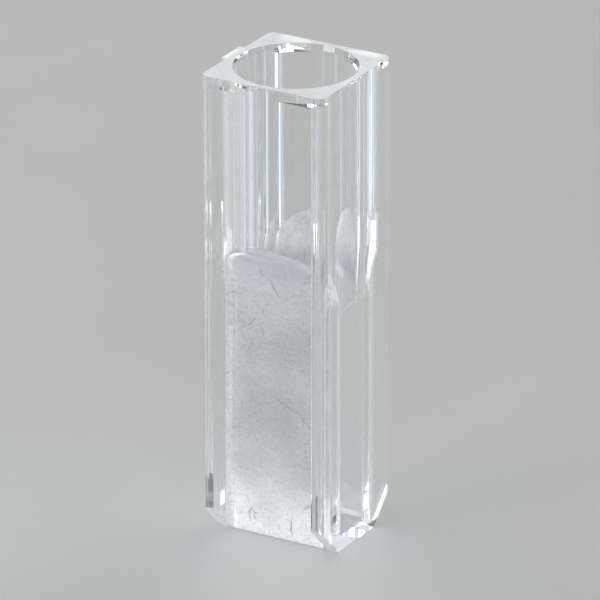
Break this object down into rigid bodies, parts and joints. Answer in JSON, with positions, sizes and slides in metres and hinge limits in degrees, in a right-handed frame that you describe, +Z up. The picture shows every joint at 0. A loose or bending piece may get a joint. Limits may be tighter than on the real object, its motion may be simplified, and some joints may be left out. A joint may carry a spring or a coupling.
{
  "type": "cuvette",
  "caption": "Clear moulded semi-micro cuvette with a square rim, a round upper bore, a narrow lower chamber between flat windows and an open pocket on each side.",
  "frame": {"origin": "middle of the base, on the surface it stands on", "axes": "+Z up towards the mouth, +X and -X out of the two clear windows, +Y and -Y out of the two pocket faces"},
  "size_m": [0.0131, 0.0126, 0.045],
  "materials": {
    "clear_plastic": "clear polystyrene, polished windows, fine matt grain on the pocket walls"
  },
  "bodies": {
    "root": {"cuvette": "clear_plastic"}
  },
  "joints": []
}
